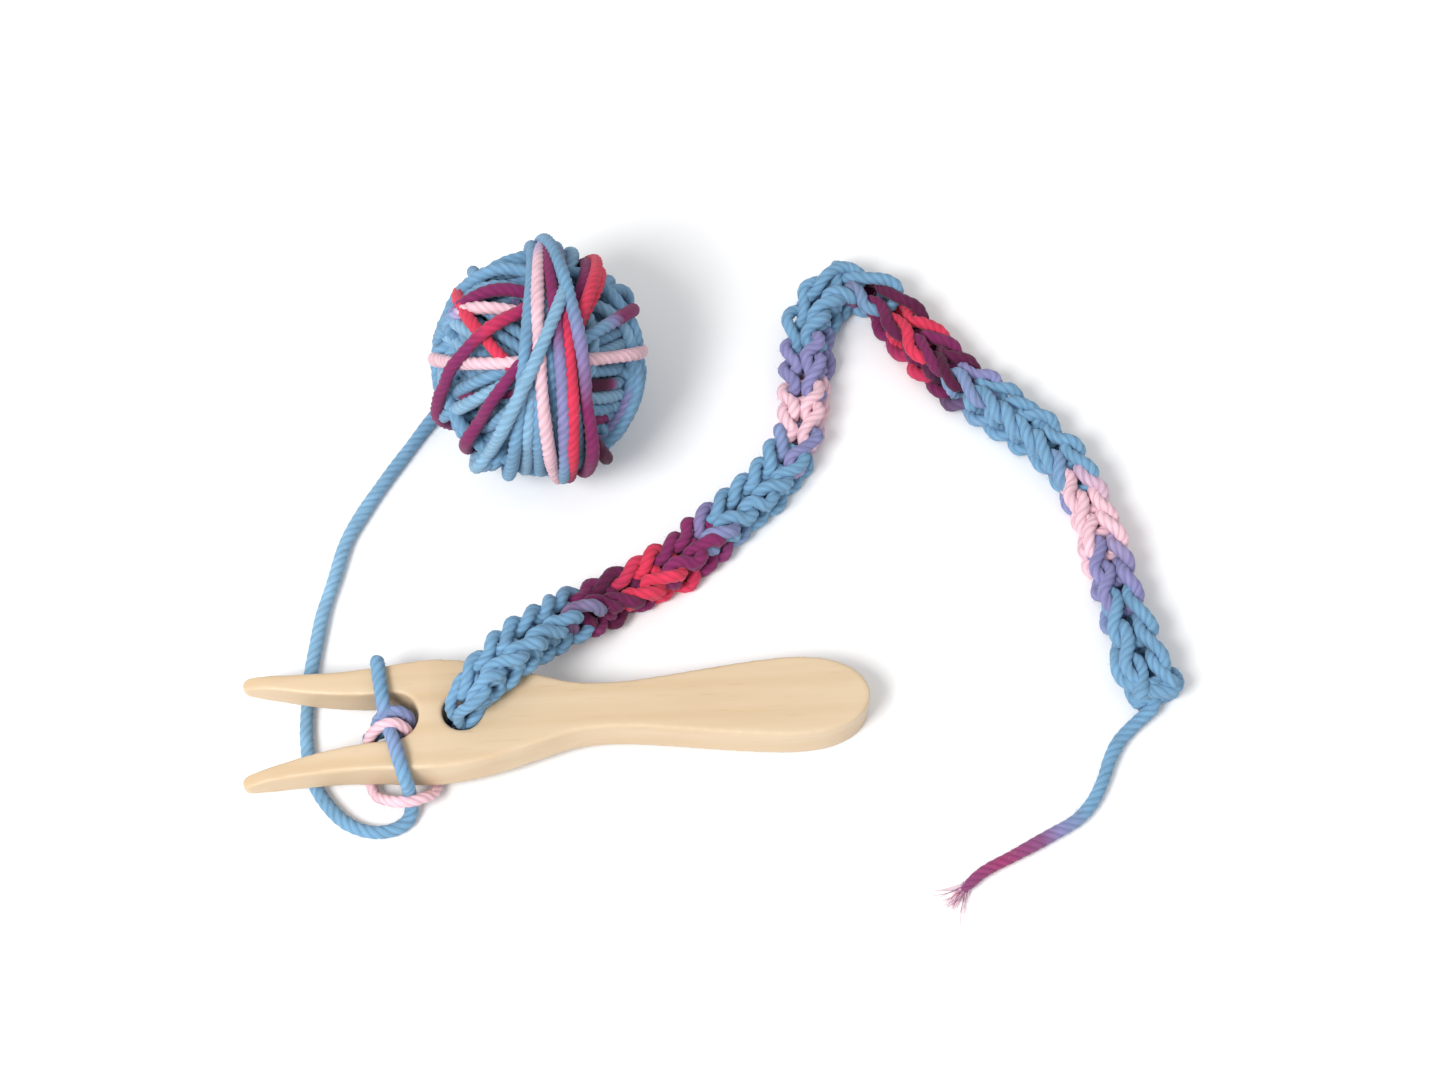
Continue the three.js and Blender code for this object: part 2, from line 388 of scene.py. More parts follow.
def wood_material():
    material, tree, shader = new_material("birch")
    where = node(tree, "TexCoord").outputs["Object"]
    stretched = node(tree, "Mapping", Vector=where, Scale=(14.0, 150.0, 150.0)).outputs[0]
    fine = node(tree, "Mapping", Vector=where, Scale=(60.0, 900.0, 900.0)).outputs[0]
    warp = node(tree, "TexNoise", Vector=where, Scale=18.0, Detail=2.0).outputs[0]
    bands = node(
        tree, "TexWave", {"bands_direction": "Y"}, Vector=stretched, Scale=0.22,
        Distortion=3.2, Detail=2.0,
    ).outputs[1]
    streaks = node(tree, "TexNoise", Vector=stretched, Scale=1.0, Detail=4.0).outputs[0]
    pores = node(tree, "TexNoise", Vector=fine, Scale=1.0, Detail=3.0).outputs[0]
    pale = (*srgb(206, 183, 152), 1)
    warm = (*srgb(195, 168, 132), 1)
    honey = (*srgb(188, 157, 117), 1)
    mask = node(tree, "MapRange", _0=streaks, _1=0.35, _2=0.7, _3=0.0, _4=0.75).outputs[0]
    colour = blend_colours(tree, mask, pale, warm)
    rings = node(tree, "MapRange", _0=bands, _1=0.55, _2=1.0, _3=0.0, _4=0.32).outputs[0]
    colour = blend_colours(tree, rings, colour, honey)
    cloud = node(tree, "MapRange", _0=warp, _1=0.3, _2=0.7, _3=0.0, _4=0.3).outputs[0]
    colour = blend_colours(tree, cloud, colour, (*srgb(216, 194, 164), 1))
    specks = node(tree, "MapRange", _0=pores, _1=0.62, _2=0.78, _3=0.0, _4=0.3).outputs[0]
    colour = blend_colours(tree, specks, colour, (*srgb(170, 136, 96), 1))
    tree.links.new(colour, shader.inputs["Base Color"])
    rough = node(tree, "MapRange", _0=streaks, _1=0.3, _2=0.7, _3=0.42, _4=0.56)
    tree.links.new(rough.outputs[0], shader.inputs["Roughness"])
    bump = node(tree, "Bump", Height=pores, Strength=0.25, Distance=0.0001)
    tree.links.new(bump.outputs[0], shader.inputs["Normal"])
    shader.inputs["Coat Weight"].default_value = 0.08
    shader.inputs["Coat Roughness"].default_value = 0.3
    return material


YARN = yarn_material("plied yarn", spun_fibres())
BIRCH = wood_material()

# ---------------------------------------------------------------- routes

# The middle line of the yarn or of the cord, stretch by stretch, in millimetres.
WORKING_RUN = [
    [-17.6, 113.6, 5.4], [-22, 110, 3.6], [-27, 105.6, 2.6], [-32.4, 99.6, 2.2],
    [-39.3, 90.1, 2.2], [-46.2, 80.4, 2.2], [-52.6, 70.5, 2.2], [-57.2, 62, 2.2],
    [-60.9, 50, 2.2], [-64.1, 39.8, 2.2], [-65.8, 31.5, 2.2], [-67.3, 23.3, 2.2],
    [-68.4, 13.6, 2.2], [-69, 4.6, 2.2], [-68.6, -4.2, 2.2],
]
WORKING_TURN = [
    [-68.6, -4.2, 2.2], [-66.4, -13, 2.2], [-62.9, -19, 2.2], [-58.2, -24, 2.2],
    [-51.8, -26.9, 2.2], [-45.8, -26.6, 2.2], [-42, -24.2, 2.3], [-40.9, -21.6, 3],
    [-40.9, -20, 4.4],
]
WORKING_WRAP = [
    [-40.9, -20, 4.4], [-41, -18.6, 8], [-41, -18.6, 13], [-41.5, -17.6, 17.2],
    [-42.4, -14.4, 19.4], [-43.4, -10, 19.6], [-44.6, -6, 19], [-45.6, -3.4, 17.4],
    [-46, -1, 14], [-46, 0.2, 10.4],
]
NEAR_LOOP = [
    [-40.2, -2.6, 9.6], [-40.3, -3.6, 13.6], [-41, -3.7, 17], [-43.2, -3.1, 19.3],
    [-46.2, -3.3, 19.4], [-48.8, -4, 17.6], [-50.6, -4.8, 14.6], [-51.4, -5, 11],
    [-51.8, -5, 7], [-52.2, -7, 3.6], [-51.9, -12, 3], [-50.3, -17, 3.8],
    [-47.4, -19.6, 6.4], [-43.8, -21.2, 8.4], [-40.6, -21.4, 8.6], [-37.2, -20, 7.2],
    [-35, -18.2, 4.8], [-33.8, -14.6, 2.7], [-34.8, -9.6, 2.6], [-38.4, -7, 2.6],
    [-43, -5, 3.4], [-44.6, -2.6, 6],
]
FAR_LOOP = [
    [-46.2, -1.4, 13.6], [-46.3, 0.4, 16.4], [-46.4, 2.2, 18.3], [-46.7, 5, 19.2],
    [-47.2, 9.7, 19.1], [-47.6, 14, 18.6], [-48, 16.7, 16.8], [-48, 17.3, 13.4],
    [-48, 17.3, 9], [-47.4, 16.2, 4.4], [-46.8, 12.6, 3.2], [-46.1, 8, 3.2],
    [-45.4, 4.6, 3.4], [-44.9, 1.8, 5.4],
]
BRIDGE_ROUTE = [
    [-45.2, -0.6, 14], [-46, -0.6, 9], [-44.4, -0.6, 4.4], [-40.6, -0.4, 2.6],
    [-36, -0.1, 2.4], [-30.6, 0, 2.4], [-27.4, 0, 3.4], [-25.9, 0, 6], [-25.7, 0, 8.8],
]
HOLE_ROUTE = [
    [-24.6, -0.3, 9.2], [-24.3, -0.4, 14], [-23.7, 0, 18.2], [-22.4, 1.4, 21.2],
    [-20.9, 3.4, 22.9],
]
CORD_ROUTE = [
    [-19.2, 5.8, 23.6], [-13.2, 11.4, 23.7], [-6.6, 18.4, 20.4], [1.8, 26.2, 14.6],
    [11, 32.6, 8.8], [22.5, 39.4, 6.2], [34.8, 45.6, 6], [45, 54, 6],
    [56, 63.4, 6], [66, 73, 6], [72.8, 84, 6], [75.6, 97, 6], [77.6, 109, 6],
    [80, 121.6, 6], [85.6, 131, 6], [93.6, 133.6, 6], [101.6, 127.6, 6],
    [108.6, 116, 6], [116, 105.2, 6], [124, 96, 6], [132.6, 87.8, 6],
    [141.3, 79.4, 6], [148, 70, 6], [152, 59.4, 6], [154.4, 48, 6], [156, 37, 6],
    [157.6, 26, 6], [159.2, 14.6, 6], [161.2, 4.6, 6],
]
TAIL_ROUTE = [
    [163.4, -3.2, 4.6], [162.4, -6.4, 3.4], [160.2, -8.4, 2.9], [156.6, -11.2, 2.4],
    [152, -15.6, 2.2], [148.8, -20.8, 2.2], [146.2, -26.6, 2.2], [142.6, -32.6, 2.2],
    [137.8, -37.4, 2.2], [130.6, -41.2, 2.2], [119.8, -46.4, 2.2],
    [110.4, -50.8, 2.2], [104.8, -55.3, 2.2],
]


def metres(route):
    """A route, or one place, given in millimetres."""
    return np.array(route, float) * MM


# ---------------------------------------------------------------- plain strands

TAIL_HAIRS = 130
FRAY_FIBRES = 46
FRAY_STEPS = 6
FRAY_SIDES = 4
FRAY_ROOT = 2.2 * MM
FRAY_TONES = (PLUM, MAGENTA, PINK, LILAC)


def strand(name, route, stops, radius=YARN_RADIUS):
    """A strand along a route, dyed by stops given in millimetres along it."""
    line = smooth_line(metres(route), LINE_STEP)
    shades = dyed(stops, lengths(line) / MM)
    fuzz = int(lengths(line)[-1] / HAIR_SPACING)
    return spin(name, line, shades, radius, fuzz=fuzz), line


def working_yarn():
    """The yarn from the ball: a long run under both prongs, a slack bend and the wrap over the near prong."""
    run, line = strand("working_yarn_run", WORKING_RUN, [(0, BLUE), (80, SKY), (170, BLUE)])
    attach(run, "fork")
    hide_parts("working_yarn")
    bend, _ = strand("working_yarn_bend", WORKING_TURN, [(0, BLUE), (60, BLUE)])
    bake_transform(bend)
    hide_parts("working_turn")
    tones = [(0, BLUE), (14, BLUE), (22, LAVENDER * 0.5 + BLUE * 0.5), (50, BLUE)]
    wrap, _ = strand("prong_wrap", WORKING_WRAP, tones)
    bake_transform(wrap)
    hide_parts("working_wrap")


def prong_loops():
    """The old loop on the near prong and the loop on the far prong, both held by the knot at the crotch."""
    tones = [(0, LAVENDER), (6, PINK), (60, PINK), (95, PINK), (110, LILAC)]
    near, _ = strand("near_prong_loop", NEAR_LOOP, tones, radius=0.8 * YARN_RADIUS)
    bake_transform(near)
    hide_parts("near_loop")
    far, _ = strand("far_prong_loop", FAR_LOOP, [(0, LAVENDER), (9, BLUE), (70, BLUE)])
    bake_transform(far)
    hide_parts("far_loop")


def tail():
    """The cord's cut tail, which thins towards its frayed end."""
    line = smooth_line(metres(TAIL_ROUTE), LINE_STEP)
    at = lengths(line) / MM
    faded = PLUM * 0.75 + LAVENDER * 0.25
    bright = MAGENTA * 0.6 + faded * 0.4
    stops = [(0, BLUE), (40, BLUE), (50, LAVENDER), (56, faded), (68, bright), (90, faded)]
    thick = YARN_RADIUS * np.interp(at, [0, 50, at[-1] - 3, at[-1]], [1, 0.95, 0.8, 0.55])
    made = spin("tail_strand", line, dyed(stops, at), thick, fuzz=TAIL_HAIRS)
    fray = tail_fray(line[-1], line[-1] - line[-6])
    for piece in (made, fray):
        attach(piece, "fork")
    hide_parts("tail_yarn")


def tail_fray(end, way):
    """The cut end's loose fibres, which spread on the table."""
    way = way / np.linalg.norm(way)
    side = np.cross(way, [0, 0, 1])
    steps = np.linspace(0, 1, FRAY_STEPS)[:, None]
    thick = (0.16 - 0.1 * steps[:, 0]) * MM
    fade = steps * 0.6
    points, faces, shades = [], [], []
    for number in range(FRAY_FIBRES):
        size, spread = rng.uniform(3, 9) * MM, rng.normal(0, 0.34)
        bend = rng.normal(0, 0.3)
        start = end - FRAY_ROOT * way + rng.normal(0, 0.45, 3) * MM
        middle = start + size * (steps * way + (spread * steps + bend * steps**2) * side)
        middle[:, 2] = np.interp(steps[:, 0], [0, 0.5, 1], [start[2], 1.0 * MM, 0.35 * MM])
        points.append(fibre_points(middle, thick, FRAY_SIDES, side, np.array([0, 0, 1.0])))
        faces += tube_faces(FRAY_STEPS, FRAY_SIDES, number * FRAY_STEPS * FRAY_SIDES)
        tone = FRAY_TONES[number % len(FRAY_TONES)]
        shades.append(np.repeat(tone * (1 - fade) + PINK * fade, FRAY_SIDES, 0))
    points = np.concatenate(points)
    return yarn_object("tail_fray", points, faces, np.concatenate(shades), points, np.zeros(len(points)))


# ---------------------------------------------------------------- knitted cord

STITCH_STEP = 3.8 * MM
LAST_STITCH = 2.4 * STITCH_STEP
CORD_LINE_STEP = 0.85 * MM
BULGE_MM = 4
# How far the points of a loop stray along the cord, outwards and upwards, in millimetres.
STRAY_ALONG, STRAY_OUT, STRAY_UP = 0.3, 0.42, 0.36
# One loop, as shares of the half width, half height and step: across, up, along.
# Its second half mirrors the first.
LOOP_HALF = (
    (0.0, 0.82, -0.5),
    (0.45, 0.55, -0.15),
    (0.86, 0.3, 0.45),
    (1.06, 0.5, 1.2),
    (1.0, 0.93, 2.15),
    (0.7, 0.92, 2.85),
    (0.44, 0.5, 3.25),
)
LOOP_HEAD = (0.38, 0.0, 3.35)


def knit(
    name, route, half_width, half_height, radius, stops, roll,
    swell=(), stretch=((0, 1), (1, 1)), slack=1.0,
):
    """A two-loop cord: loops point left and right in turn, each drawn through the last one on its side."""
    centre = smooth_line(metres(route), 0.5 * MM)
    at = lengths(centre)
    _, up, across = frames(centre[::-1])
    up, across = up[::-1], -across[::-1]
    points, places = [], []
    base, side = 0.5 * STITCH_STEP, -1
    while base < at[-1] - LAST_STITCH:
        step = STITCH_STEP * np.interp(base / MM, *zip(*stretch)) * rng.uniform(0.93, 1.07)
        base, side = base + step, -side
        loose = rng.uniform(0.9, 1.1)
        loop = [(w, -h * side, y) for w, h, y in LOOP_HALF] + [LOOP_HEAD]
        loop += [(w, h * side, y) for w, h, y in LOOP_HALF[::-1][:-1]]
        bulges = [
            grow * math.exp(-(((base / MM - bulge_at) / BULGE_MM) ** 2))
            for bulge_at, bulge_side, grow in swell if bulge_side == side
        ]
        wide = 1 + sum(bulges)
        for i, (w, h, y) in enumerate(loop):
            s = min(max(base + y * step + rng.normal(0, STRAY_ALONG * slack * MM), 0), at[-1])
            place = int(round(s / at[-1] * (len(centre) - 1)))
            turn = math.radians(np.interp(s / MM, *zip(*roll)))
            out = side * w * wide * loose * np.interp(s / MM, *zip(*half_width)) * MM
            lift = h * np.interp(s / MM, *zip(*half_height)) * MM
            out += rng.normal(0, STRAY_OUT * slack * MM)
            lift += rng.normal(0, STRAY_UP * slack * MM)
            right = across[place] * (out * math.cos(turn) - lift * math.sin(turn))
            points.append(centre[place] + right + up[place] * (out * math.sin(turn) + lift * math.cos(turn)))
            places.append(base + (i / len(loop)) * step)
    line = smooth_line(points, CORD_LINE_STEP)
    passed = lengths(np.array(points))
    travel = np.interp(np.linspace(0, 1, len(line)), passed / passed[-1], places)
    shades = dyed(stops, travel / MM)
    thick = np.interp(travel / MM, *zip(*radius)) * MM
    line[:, 2] = np.maximum(line[:, 2], thick + 0.1 * MM)
    return spin(name, line, shades, thick, COARSE_PROFILE, fuzz=int(len(line) * 0.3)), centre


# The cord's dye, half sizes, yarn radius, stitch lengths and roll in degrees, by millimetres from the hole.
CORD_DYE = [
    (0, BLUE), (50, BLUE), (54, PLUM), (64, DARK_PLUM), (70, PLUM), (73, CORAL), (83, CORAL),
    (86, PLUM), (97, PLUM), (101, LAVENDER), (106, BLUE), (132, BLUE), (138, LAVENDER),
    (141, PINK), (155, PINK), (158, LAVENDER), (170, LAVENDER), (174, BLUE), (203, BLUE),
    (206, PLUM), (213, DARK_PLUM), (216, PLUM), (219, CORAL), (226, CORAL), (229, PLUM),
    (241, DARK_PLUM), (246, LAVENDER), (251, BLUE), (286, BLUE), (290, LAVENDER), (294, PINK),
    (312, PINK), (316, LAVENDER), (326, LAVENDER), (332, BLUE), (372, BLUE),
]
CORD_DEPTH = [(0, 3.6), (14, 3.8), (22, 3.7), (32, 4.0), (200, 4.2), (354, 4.2)]
CORD_WIDTH = [
    (0, 3.7), (14, 4.1), (24, 4.7), (36, 5.3), (200, 5.5), (230, 5.4), (290, 4.8), (325, 4.7), (354, 5.6),
]
CORD_YARN = [(0, 1.6), (16, 1.65), (26, 1.8), (354, 1.85)]
CORD_STRETCH = [
    (0, 0.95), (60, 0.98), (80, 0.9), (130, 0.95), (185, 1.1), (200, 1.4), (216, 1.35), (226, 1.05),
    (250, 1.0), (320, 1.05), (332, 1.35), (360, 1.5),
]
CORD_ROLL = [
    (0, 60), (20, 70), (45, 85), (56, 60), (75, 100), (100, 75), (130, 95), (150, 80), (180, 60),
    (205, 105), (225, 80), (255, 70), (290, 100), (320, 90), (354, 90),
]
# Loops that bulge: where, on which side and by how much.
CORD_SWELL = ((46, 1, 0.45), (188, 1, 0.4), (205, -1, 0.45), (225, 1, 0.35))


def lucet_cord():
    """The finished cord, from inside the hole to its far end."""
    made, centre = knit(
        "lucet_cord", HOLE_ROUTE + CORD_ROUTE + [[163.4, -3.4, 6]], CORD_DEPTH, CORD_WIDTH, CORD_YARN,
        CORD_DYE, CORD_ROLL, CORD_SWELL, CORD_STRETCH,
    )
    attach(made, "fork")
    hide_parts("hole_cord", "knitted_cord")


def slack_loop():
    """A slack loop that stands up out of the cord at its sharpest bend."""
    route = [
        [87.6, 126.6, 6.4], [88.2, 131.6, 9], [88.8, 138, 9], [89.2, 141, 6.8], [88.9, 138, 4.6],
        [88.4, 132, 4.2], [88, 128, 5],
    ]
    loop, _ = strand("slack_loop", route, [(0, BLUE), (60, BLUE)], radius=0.95 * YARN_RADIUS)
    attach(loop, "fork")


def cast_on_bar():
    """The first loop of all: it closes the cord's end and lets the tail out under it."""
    route = [
        [155.4, 9.6, 5.4], [153.6, 4.6, 7.4], [154.6, 0.4, 7.6], [158.4, -2.6, 8.2],
        [163.6, -4, 8.4], [168.2, -3.4, 7.4], [170.2, -0.2, 5.6], [168.8, 3.4, 3.8],
        [165, 2.4, 2.4], [163.6, -1.6, 2.6], [162.9, -4.6, 3.6],
    ]
    bar, _ = strand("cast_on_bar", route, [(0, BLUE), (80, BLUE)], radius=0.95 * YARN_RADIUS)
    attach(bar, "fork")
    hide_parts("cast_on_knot")


# The small stitches from the crotch to the hole, pressed flat where they pass under the wood.
CROTCH_WIDTH = [(0, 4.4), (14, 3.6), (18, 4), (40, 3.2)]
CROTCH_DEPTH = [(0, 2.6), (10, 2.4), (16, 0.9), (28, 0.9), (34, 2.2), (40, 2.8)]
CROTCH_YARN = [(0, 1.7), (10, 1.6), (16, 1.2), (28, 1.2), (34, 1.4), (40, 1.5)]


def crotch_stitches():
    """The last stitch between the prongs, with the small stitches under it."""
    made, _ = knit(
        "crotch_stitches", BRIDGE_ROUTE, CROTCH_WIDTH, CROTCH_DEPTH, CROTCH_YARN,
        [(0, LAVENDER), (6, DEEP_BLUE), (50, BLUE)], [(0, 0), (40, 0)], slack=0.4,
    )
    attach(made, "fork")
    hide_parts("crotch_knot", "bridge_cord")
    arc = [
        [-48.4, -0.4, 7], [-49, -0.5, 10], [-48.9, -0.4, 12.6], [-47.8, 0.4, 15.6],
        [-45.2, 1.1, 17.4], [-42.3, 1, 17.6], [-40.2, 0, 16.2], [-39.5, -0.6, 12.6], [-39.8, -0.6, 8],
    ]
    tones = [(0, DEEP_BLUE), (9, BLUE * 0.5 + LAVENDER * 0.5), (24, LAVENDER * 0.8), (40, DEEP_BLUE)]
    over, _ = strand("knot_arc", arc, tones, radius=0.86 * YARN_RADIUS)
    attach(over, "fork")
    stub = [[-51.4, -3.2, 10], [-49.8, -3.2, 12.6], [-47, -2.6, 14.4], [-44, -1.6, 13.6], [-42, -1, 10]]
    under, _ = strand("knot_under", stub, [(0, DEEP_BLUE), (30, DEEP_BLUE)])
    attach(under, "fork")


# ---------------------------------------------------------------- ball of yarn

BALL_CENTRE = metres([0.4, 99.2, 31.4])
BALL_RADII = metres([29.2, 32.2, 26.8])
# The ball counts as round, with its first radius, where only lengths along the surface matter.
BALL_RADIUS = BALL_RADII[0]
INNER_SPACING = 3.7 * MM
INNER_SPREAD = 0.68
# Each inner layer: how deep it lies, and how its turns tilt and lean, in degrees.
INNER_LAYERS = (
    (26, 20, 5), (22.8, 100, -10), (19.5, 60, 15), (16.3, 150, -12),
    (14.3, 15, 20), (12.4, 75, -16), (10.4, 125, 14), (8.4, 40, -10),
)
# Only this many of the last inner turns are near the surface. The ones below are cut into longer steps.
LAST_INNER = 12
OUTER_STEP_MM, INNER_STEP_MM = 1.12, 2.3
# A turn runs over into the next within this angle, in radians.
JOINT_ANGLE = 1.1
# How far apart the middles of two crossing strands lie, and how far a taut turn carries a height along.
PRESSED = 3.0 * MM
STIFF_REACH = 12 * MM
DEEPEST = -8.4
BALL_HAIRS = 800
# Heights over BALL_RADII that the turns of each layer keep between, in millimetres.
LOW = (-8.2, -4.6)
MIDDLE = (-6, -2)
UPPER = (-4, -0.4)
ACROSS = (-2, 0)
TOP = (-2, 1.2)
OVER_TOP = (-1, 2.6)
UNDER_BAND = (-2.4, -0.6)
BAND = (-0.4, 2)
OVER_BAND = (0, 3.8)
BAND_LAYERS = (UNDER_BAND, BAND, OVER_BAND)
# The band of crossing turns, from left to right across the front, and the depth where the front ends.
BAND_FROM, BAND_TO = -0.1, 0.4
FRONT = -0.1
# Marks are kept this close to the middle, so that each one is a place on the ball.
EDGE = 0.985


def on_ball(across, upward):
    """A direction from the ball's centre, given by where it shows from the front, in shares of a radius."""
    far = math.hypot(across, upward)
    if far > EDGE:
        across, upward = across * EDGE / far, upward * EDGE / far
    depth = math.sqrt(max(0.0, 1 - across**2 - upward**2))
    return across * VIEW_RIGHT + upward * VIEW_UP + depth * TOWARDS_CAMERA


def flat_turn(normal, offset, heights, way):
    """One turn of the winding: a circle on the ball, square to normal."""
    front = TOWARDS_CAMERA - normal * (TOWARDS_CAMERA @ normal)
    front /= np.linalg.norm(front)
    side = np.cross(normal, front)
    if side @ way < 0:
        side = -side
    return {
        "middle": normal * offset, "reach": math.sqrt(max(0.0, 1 - offset**2)),
        "front": front, "side": side, "heights": heights,
    }


def turn_through(marks, heights, stops):
    """A turn from the first mark to the last, round the ball's middle or through a third mark.

    The dye's stops are shares of the way from the first mark to the last.
    """
    ways = [on_ball(*mark) for mark in marks]
    first, last = ways[0], ways[-1]
    normal = np.cross(first, last) if len(ways) == 2 else np.cross(ways[1] - first, last - ways[1])
    normal /= np.linalg.norm(normal)
    turn = flat_turn(normal, first @ normal, heights, last - first)
    start, end = (math.degrees(math.atan2(way @ turn["side"], way @ turn["front"])) for way in (first, last))
    turn["dye"] = [(start + share * (end - start), shade) for share, shade in stops]
    turn["shown"] = math.radians(start - 0.15 * (end - start)), math.radians(end + 0.1 * (end - start))
    return turn


def points_on(turn, angles):
    """Where a turn is at each angle, on a ball of radius one."""
    swing = np.cos(angles)[:, None] * turn["front"] + np.sin(angles)[:, None] * turn["side"]
    return turn["middle"] + turn["reach"] * swing


def inner_turns():
    """The layers under the surface, each a band of turns laid side by side across the last."""
    turns = []
    for depth, tilt, lean in INNER_LAYERS:
        radius = BALL_RADIUS - depth * MM
        angle, leaning = math.radians(tilt), math.radians(lean)
        normal = math.cos(leaning) * (math.cos(angle) * VIEW_RIGHT + math.sin(angle) * VIEW_UP)
        normal += math.sin(leaning) * TOWARDS_CAMERA
        way = VIEW_RIGHT + 0.3 * VIEW_UP
        half = int(INNER_SPREAD * radius / INNER_SPACING)
        for i in range(-half, half + 1):
            turn = flat_turn(normal, i * INNER_SPACING / radius, (-depth, -depth), way)
            turn["dye"] = plain((BLUE, DEEP_BLUE, SKY, BLUE, LAVENDER)[(i + int(depth)) % 5])
            turns.append(turn)
    return turns


def plain(shade):
    """One shade all the way."""
    return [(0, shade), (1, shade)]


def spot(shade, start=-0.4, end=1.15, edge=LAVENDER):
    """Blue yarn with one stretch of another shade, as shares of the way between the marks."""
    rise = [(start - 0.35, BLUE), (start - 0.15, edge), (start, shade)]
    return rise + [(end, shade), (end + 0.15, edge), (end + 0.35, BLUE)]


